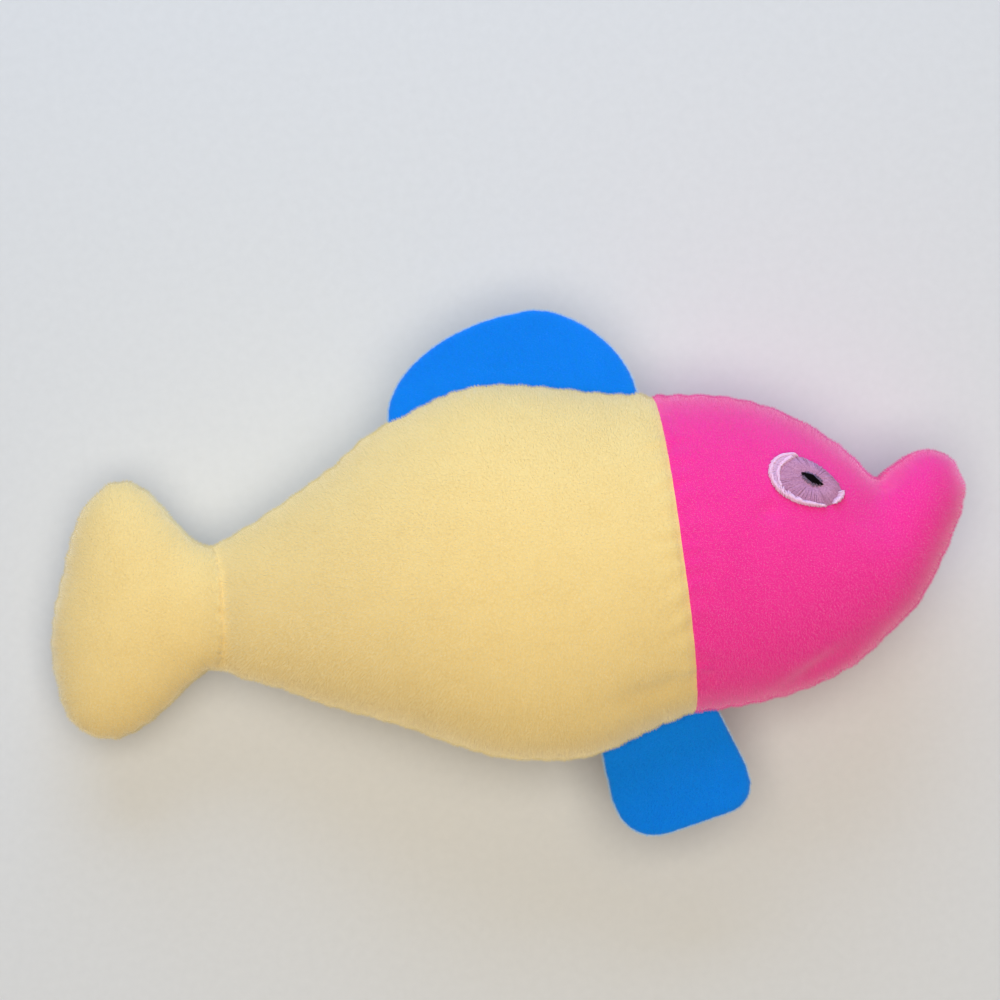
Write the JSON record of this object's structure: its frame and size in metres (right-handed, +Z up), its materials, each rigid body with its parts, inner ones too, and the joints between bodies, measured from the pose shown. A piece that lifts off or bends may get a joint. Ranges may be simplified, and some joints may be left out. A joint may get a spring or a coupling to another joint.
{
  "type": "plush fish pet toy",
  "caption": "Stuffed plush fish toy lying on its side: cream body and tail, pink head with open mouth, blue cloth fins, stitched eyes, fibre filling and a squeaker inside.",
  "frame": {"origin": "on the table under the widest part of the body, on the flat patch that the toy rests on", "axes": "+X along the body from the tail to the snout, +Y from the belly to the back, +Z up from the table through the toy's thickness"},
  "size_m": [0.257, 0.148, 0.0655],
  "materials": {
    "cream_plush": "short pile",
    "pink_plush": "short pile",
    "blue_plush": "short pile",
    "fibre_filling": "loose fibre",
    "white_floss": "satin stitch",
    "black_floss": "satin stitch",
    "cream_thread": "spun thread",
    "pink_thread": "spun thread",
    "squeaker_plastic": "blown, translucent",
    "plug_plastic": "moulded",
    "reed_brass": "rolled strip"
  },
  "bodies": {
    "body": {"body_near_panel": "cream_plush", "body_far_panel": "cream_plush", "body_near_filling": "fibre_filling", "body_far_filling": "fibre_filling", "head_near_panel": "pink_plush", "head_far_panel": "pink_plush", "head_filling": "fibre_filling", "near_eye_white": "white_floss", "near_eye_pupil": "black_floss", "far_eye_white": "white_floss", "far_eye_pupil": "black_floss", "squeaker_bulb": "squeaker_plastic", "squeaker_plug": "plug_plastic", "squeaker_reed": "reed_brass", "back_seam_thread": "cream_thread", "belly_seam_thread": "cream_thread", "head_seam_thread": "pink_thread", "neck_seam_thread": "pink_thread"},
    "tail": {"tail_near_panel": "cream_plush", "tail_far_panel": "cream_plush", "tail_filling": "fibre_filling", "tail_seam_thread": "cream_thread", "waist_seam_thread": "cream_thread"},
    "back_fin": {"back_fin_near_layer": "blue_plush", "back_fin_far_layer": "blue_plush"},
    "belly_fin": {"belly_fin_near_layer": "blue_plush", "belly_fin_far_layer": "blue_plush"}
  },
  "joints": [
    {"name": "tail_bend", "type": "hinge", "parent": "body", "child": "tail", "pos_m": [-0.081, 0, 0.023], "axis": [0, 1, 0], "range_deg": [-30, 30], "stiffness_Nm_per_rad": 0.15},
    {"name": "back_fin_fold", "type": "hinge", "parent": "body", "child": "back_fin", "pos_m": [0, 0.0533, 0.031], "axis": [1, 0, 0], "range_deg": [-60, 60], "stiffness_Nm_per_rad": 0.006},
    {"name": "belly_fin_fold", "type": "hinge", "parent": "body", "child": "belly_fin", "pos_m": [0.03734, -0.05306, 0.031], "axis": [0.973, 0.231, 0], "range_deg": [-60, 60], "stiffness_Nm_per_rad": 0.006}
  ]
}
